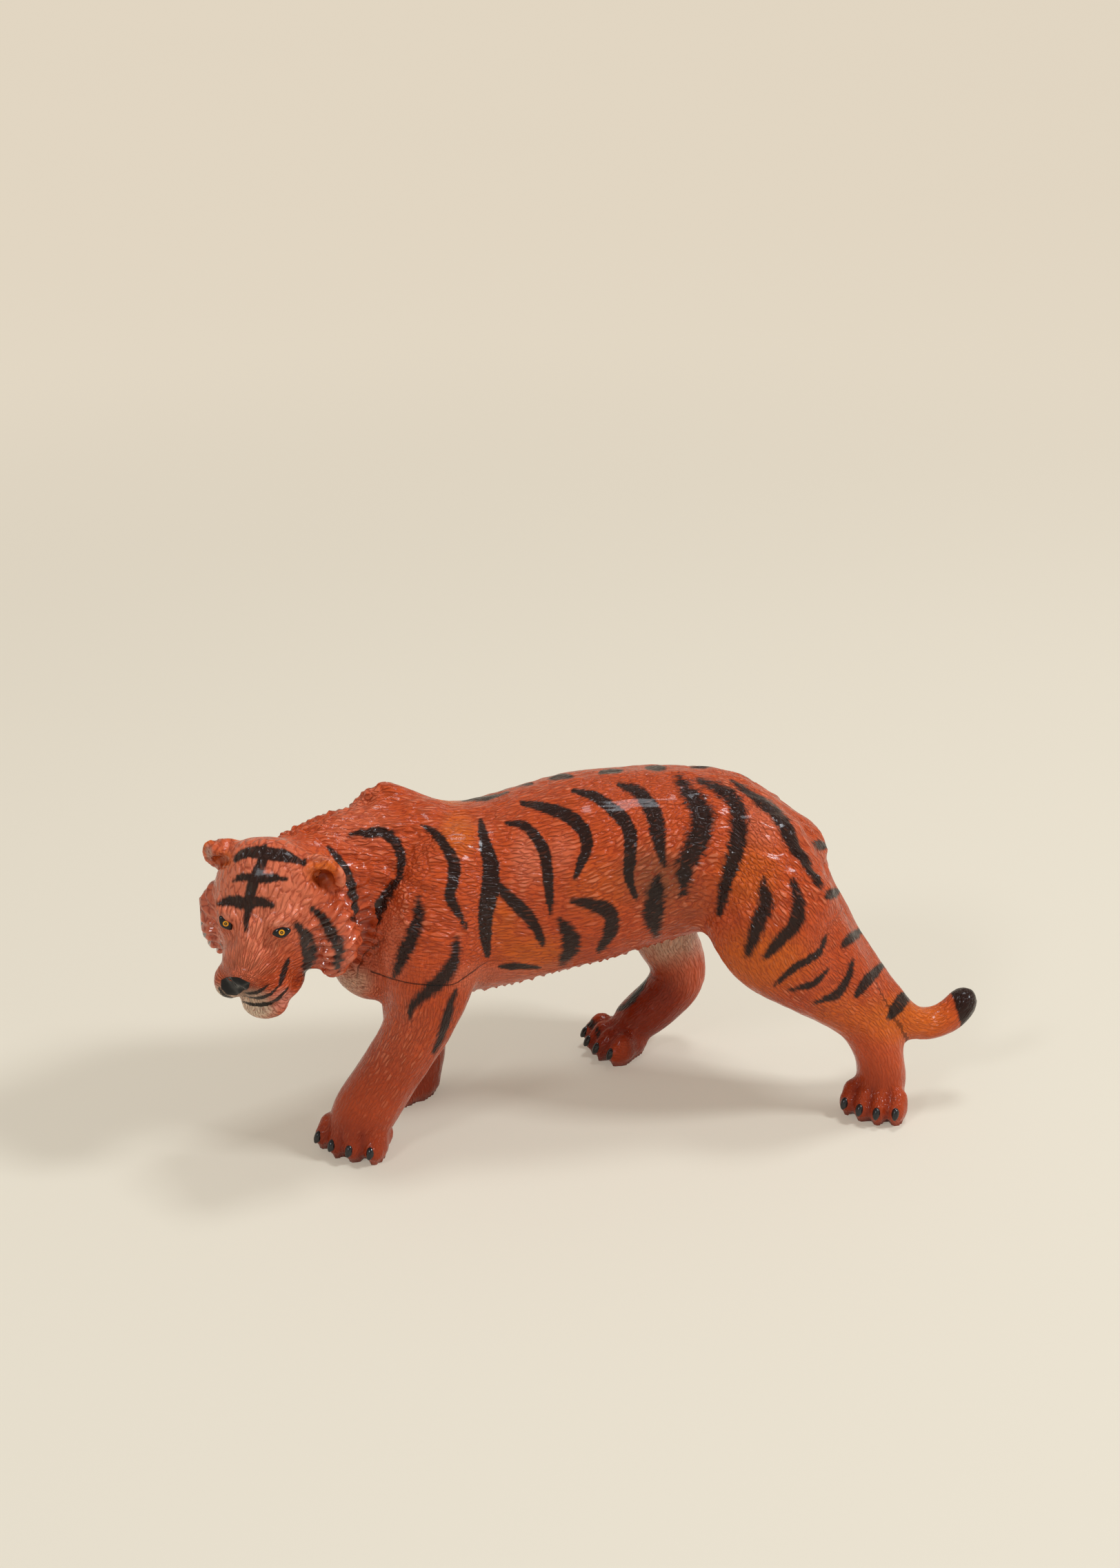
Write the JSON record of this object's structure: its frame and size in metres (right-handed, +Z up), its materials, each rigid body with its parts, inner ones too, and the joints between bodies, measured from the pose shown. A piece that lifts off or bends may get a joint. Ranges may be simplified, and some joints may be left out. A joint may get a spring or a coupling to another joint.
{
  "type": "tiger figurine",
  "caption": "Moulded tiger figurine in a slow stalking walk, head lowered and turned to its left, tail run down the hind leg and curled at its tip.",
  "frame": {"origin": "on the ground under the middle of the figure's box", "axes": "+X from the head toward the tail, +Y toward the figure's right side, +Z up; the head faces -X and turns toward -Y"},
  "size_m": [0.2708, 0.0878, 0.126],
  "materials": {
    "painted_vinyl": "soft vinyl, orange-red with airbrushed black stripes, pale muzzle and a low gloss"
  },
  "bodies": {
    "root": {"tiger_figure": "painted_vinyl"}
  },
  "joints": []
}
